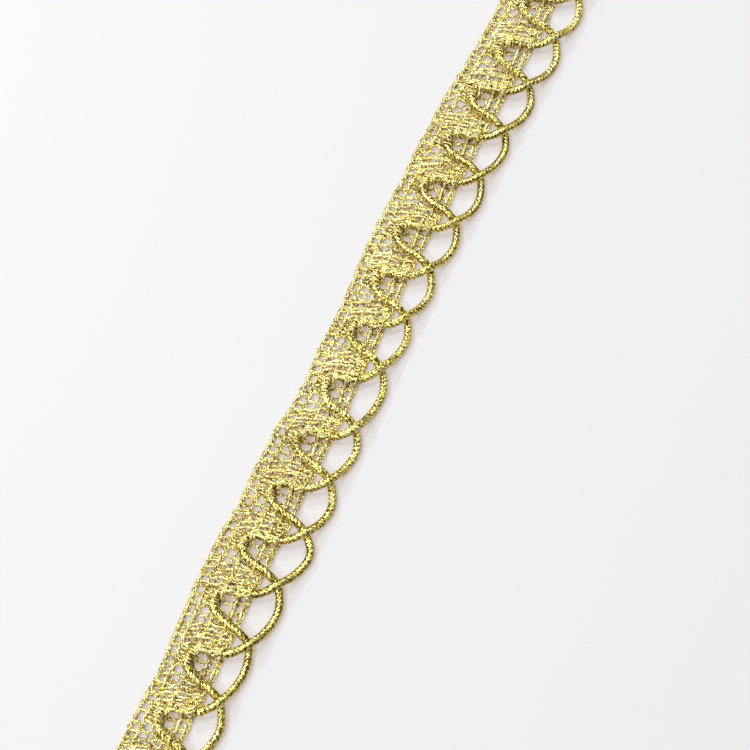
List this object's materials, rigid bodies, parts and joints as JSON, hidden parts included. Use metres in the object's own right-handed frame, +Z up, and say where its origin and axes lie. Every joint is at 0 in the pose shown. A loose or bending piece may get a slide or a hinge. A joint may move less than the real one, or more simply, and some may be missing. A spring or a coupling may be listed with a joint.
{
  "type": "zigzag lace trim",
  "caption": "Cut length of narrow gold metal-thread lace trim: a knitted openwork ground with a straight heading, and crossing gimp cords that make arches on it and scallops along its edge.",
  "frame": {"origin": "middle of the trim's underside, where it rests", "axes": "+X along the trim, +Y across it towards the straight heading, +Z up from the surface it lies on"},
  "size_m": [0.1416, 0.0133, 0.0024],
  "materials": {
    "knit": "twisted gold metal thread, glittering",
    "gimp": "gold metal thread wrapped round a core, bright with dark creases"
  },
  "bodies": {
    "root": {"ground": "knit", "gimp_a": "gimp", "gimp_b": "gimp"}
  },
  "joints": []
}
